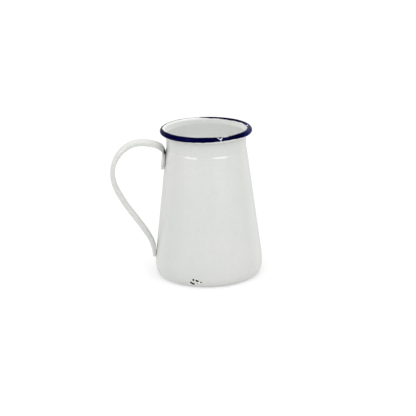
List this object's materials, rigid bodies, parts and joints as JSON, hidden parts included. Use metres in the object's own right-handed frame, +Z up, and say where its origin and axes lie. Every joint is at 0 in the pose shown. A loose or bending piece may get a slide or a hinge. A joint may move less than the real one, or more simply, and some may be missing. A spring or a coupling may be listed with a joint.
{
  "type": "jug",
  "caption": "Conical enamelled steel jug with an upright neck, a blue wired rolled rim and a white strap handle.",
  "frame": {"origin": "on the jug's axis, in the plane that the foot stands on, at the centre of the flat base panel", "axes": "+Z up along the jug's axis; the handle lies along -X; Y runs across the handle"},
  "size_m": [0.159, 0.1142, 0.1587],
  "materials": {
    "white_enamel": "gloss white enamel on steel, faintly rippled, with small chips at the foot",
    "blue_enamel": "gloss navy enamel brushed on by hand, chipped through to brown steel in places",
    "steel_wire": "bare drawn steel wire"
  },
  "bodies": {
    "root": {"body_shell": "white_enamel", "rolled_rim": "blue_enamel", "rim_wire": "steel_wire", "base_pan": "white_enamel", "handle_strap": "white_enamel"}
  },
  "joints": []
}
